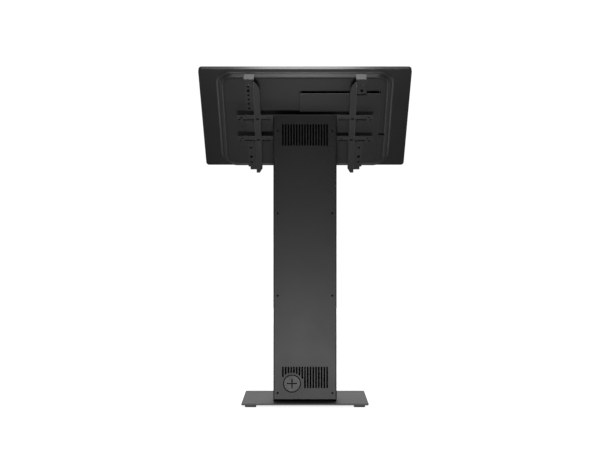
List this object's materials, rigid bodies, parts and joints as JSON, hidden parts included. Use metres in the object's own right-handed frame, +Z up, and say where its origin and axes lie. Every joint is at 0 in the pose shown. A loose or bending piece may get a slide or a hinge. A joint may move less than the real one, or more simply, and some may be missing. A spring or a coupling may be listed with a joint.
{
  "type": "touchscreen kiosk",
  "caption": "Free-standing floor kiosk: a leaning landscape touch display hung by two hook arms on rails across a slim sheet-metal column with a flat base plate.",
  "frame": {"origin": "on the floor, under the middle of the whole object", "axes": "+Z up, the screen faces -Y and leans back 45 degrees, X is the width"},
  "size_m": [0.748, 0.3796, 1.1936],
  "materials": {
    "base_coat": "fine-textured powder coat",
    "column_coat": "fine-textured powder coat",
    "cover_coat": "fine-textured powder coat",
    "rail_coat": "smooth black powder coat",
    "arm_coat": "smooth black powder coat",
    "housing_coat": "matt black textured paint",
    "frame_coat": "satin black anodised look",
    "touch_glass": "polished, black behind",
    "rubber_feet": "matt moulded, grey",
    "rubber_grommet": "matt moulded",
    "rubber_pads": "matt moulded",
    "filter_felt": "black felt",
    "foam_tape": "matt",
    "black_fastener": "black oxide",
    "zinc_fastener": "zinc plated",
    "inner_steel": "zinc-coated sheet",
    "cap_plastic": "moulded, fine grain",
    "black_plastic": "moulded",
    "button_plastic": "satin",
    "panel_metal": "satin",
    "computer_case": "anodised",
    "circuit_board": "solder mask",
    "rocker_plastic": "moulded"
  },
  "bodies": {
    "stand": {"base_plate": "base_coat", "base_feet": "rubber_feet", "foot_screws": "zinc_fastener", "column_bolts": "zinc_fastener", "column_foot_plate": "column_coat", "column_shell": "column_coat", "column_rear_cover": "cover_coat", "cover_mounting_angles": "inner_steel", "cover_screws": "black_fastener", "head_plate": "column_coat", "cable_grommet": "rubber_grommet", "cable_port_ring": "rubber_grommet", "vent_filters": "filter_felt", "computer_bracket": "inner_steel", "computer": "computer_case", "power_strip": "black_plastic", "upper_rail": "rail_coat", "lower_rail": "rail_coat", "rail_bolts": "black_fastener"},
    "port_cap": {"port_cap": "cap_plastic"},
    "strip_switch": {"strip_switch": "rocker_plastic"},
    "display": {"arm_right": "arm_coat", "arm_left": "arm_coat", "arm_pads": "rubber_pads", "arm_screws": "black_fastener", "arm_lock_screws": "black_fastener", "display_frame": "frame_coat", "touch_glass": "touch_glass", "glass_tape": "foam_tape", "lcd_panel": "panel_metal", "chassis_plate": "inner_steel", "button_switch": "black_plastic", "rear_housing": "housing_coat", "service_cover": "housing_coat", "side_cover": "housing_coat", "housing_screws": "black_fastener", "arm_posts": "zinc_fastener", "connector_bay": "housing_coat", "bay_sockets": "black_plastic", "main_board": "circuit_board", "power_board": "circuit_board", "speakers": "black_plastic"},
    "power_button": {"power_button": "button_plastic"}
  },
  "joints": [
    {"name": "display_slide", "type": "slide", "parent": "stand", "child": "display", "axis": [1, 0, 0], "range_m": [-0.02, 0.02]},
    {"name": "port_cap_turn", "type": "hinge", "parent": "stand", "child": "port_cap", "pos_m": [0.0461, 0.08445, 0.0771], "axis": [0, 1, 0], "range_deg": [0, 90]},
    {"name": "strip_switch_rock", "type": "hinge", "parent": "stand", "child": "strip_switch", "pos_m": [0, 0.01445, 0.772], "axis": [1, 0, 0], "range_deg": [-16, 0]},
    {"name": "power_button_press", "type": "slide", "parent": "display", "child": "power_button", "axis": [0, 0.7071, 0.7071], "range_m": [0, 0.0012], "stiffness_N_per_m": 400}
  ]
}
